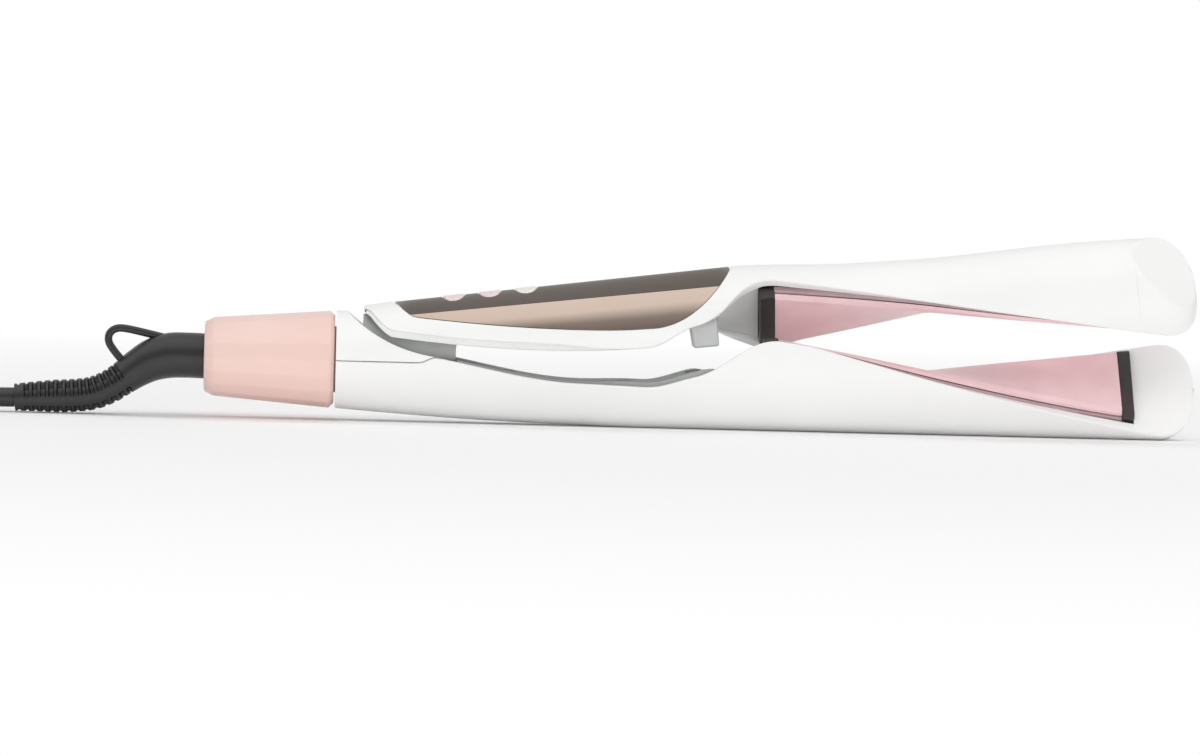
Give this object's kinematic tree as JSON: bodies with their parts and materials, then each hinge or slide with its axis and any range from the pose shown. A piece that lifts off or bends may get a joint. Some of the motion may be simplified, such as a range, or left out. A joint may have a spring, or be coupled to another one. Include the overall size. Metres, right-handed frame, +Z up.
{
  "type": "hair straightener and curler",
  "caption": "Hair straightener and curler with two hinged arms, smooth twisted plates, a turning lock collar, push buttons on a bronze panel and a swivelling mains cord with a plug",
  "frame": {"origin": "middle of the flat strip under the lower arm, on which the tool lies", "axes": "+X runs along the tool to its tips, +Z is up, +Y points to the side away from the viewer"},
  "size_m": [0.5316, 0.0445, 0.0627],
  "materials": {
    "white_shell": "glossy white moulded ABS",
    "grey_trim": "satin grey moulded plastic",
    "rose_plate": "rose coloured ceramic coating on aluminium",
    "blush_collar": "glossy blush pink moulded plastic",
    "black_plastic": "black heat resistant plastic",
    "rubber": "soft dark grey PVC",
    "bronze_panel": "mirror bronze film behind clear plastic",
    "button_pink": "pale pink moulded plastic",
    "button_cream": "cream moulded plastic",
    "steel": "zinc plated steel",
    "plug_brass": "nickel plated brass",
    "board": "green glass fibre board",
    "ceramic": "white heat resistant ceramic or nylon",
    "silicone": "grey silicone rubber"
  },
  "bodies": {
    "lower_arm": {"lower_casing": "white_shell", "lower_posts": "white_shell", "rear_cover": "white_shell", "hinge_cover": "grey_trim", "lower_inner_cover": "grey_trim", "lower_tip": "white_shell", "lower_plate": "rose_plate", "lower_heater": "ceramic", "lower_plate_carrier": "black_plastic", "lower_plate_end_rear": "black_plastic", "lower_plate_end_front": "black_plastic", "lower_plate_cushions": "silicone", "hinge_bracket": "steel", "hinge_pin": "steel", "bracket_screws": "steel", "opening_spring": "steel", "power_board": "board", "cord_terminal": "ceramic", "collar_bush": "ceramic", "cover_screws": "steel"},
    "power_button": {"power_button": "button_pink"},
    "plus_button": {"plus_button": "button_pink"},
    "minus_button": {"minus_button": "button_cream"},
    "lock_collar": {"lock_collar": "blush_collar"},
    "lock_bolt": {"lock_bolt": "steel"},
    "cord_swivel": {"swivel_barrel": "black_plastic", "strain_relief": "rubber", "hanging_loop": "rubber", "cord": "rubber", "cord_coil": "rubber", "coil_tie": "rubber", "plug": "rubber", "plug_pins": "plug_brass"},
    "upper_arm": {"upper_casing": "white_shell", "upper_posts": "white_shell", "upper_inner_cover": "grey_trim", "upper_tip": "white_shell", "control_panel": "bronze_panel", "control_board": "board", "board_screws": "steel", "upper_hinge_arm": "steel", "upper_plate": "rose_plate", "upper_heater": "ceramic", "upper_plate_carrier": "black_plastic", "upper_plate_end_rear": "black_plastic", "upper_plate_end_front": "black_plastic", "upper_plate_cushions": "silicone", "thermal_fuse": "ceramic"}
  },
  "joints": [
    {"name": "jaw_hinge", "type": "hinge", "parent": "lower_arm", "child": "upper_arm", "pos_m": [-0.141, 0, 0.0243], "axis": [0, 1, 0], "range_deg": [0, 6.7], "stiffness_Nm_per_rad": 0.35, "springref_deg": -34.38, "deforming": ["opening_spring"]},
    {"name": "power_button_press", "type": "slide", "parent": "upper_arm", "child": "power_button", "axis": [0.1167, 0, -0.9932], "range_m": [0, 0.0006], "stiffness_N_per_m": 900, "springref_m": -0.0004},
    {"name": "plus_button_press", "type": "slide", "parent": "upper_arm", "child": "plus_button", "axis": [0.1167, 0, -0.9932], "range_m": [0, 0.0006], "stiffness_N_per_m": 900, "springref_m": -0.0004},
    {"name": "minus_button_press", "type": "slide", "parent": "upper_arm", "child": "minus_button", "axis": [0.1167, 0, -0.9932], "range_m": [0, 0.0006], "stiffness_N_per_m": 900, "springref_m": -0.0004},
    {"name": "collar_turn", "type": "hinge", "parent": "lower_arm", "child": "lock_collar", "pos_m": [-0.19, 0, 0.0186], "axis": [-1, 0, 0], "range_deg": [0, 35]},
    {"name": "bolt_slide", "type": "slide", "parent": "lower_arm", "child": "lock_bolt", "axis": [1, 0, 0], "range_m": [0, 0.0043]},
    {"name": "cord_turn", "type": "hinge", "parent": "lower_arm", "child": "cord_swivel", "pos_m": [-0.19, 0, 0.0186], "axis": [1, 0, 0], "continuous": true}
  ],
  "couplings": [
    {"joint": "bolt_slide", "follows": "collar_turn", "m_per_rad": 0.0070392}
  ]
}
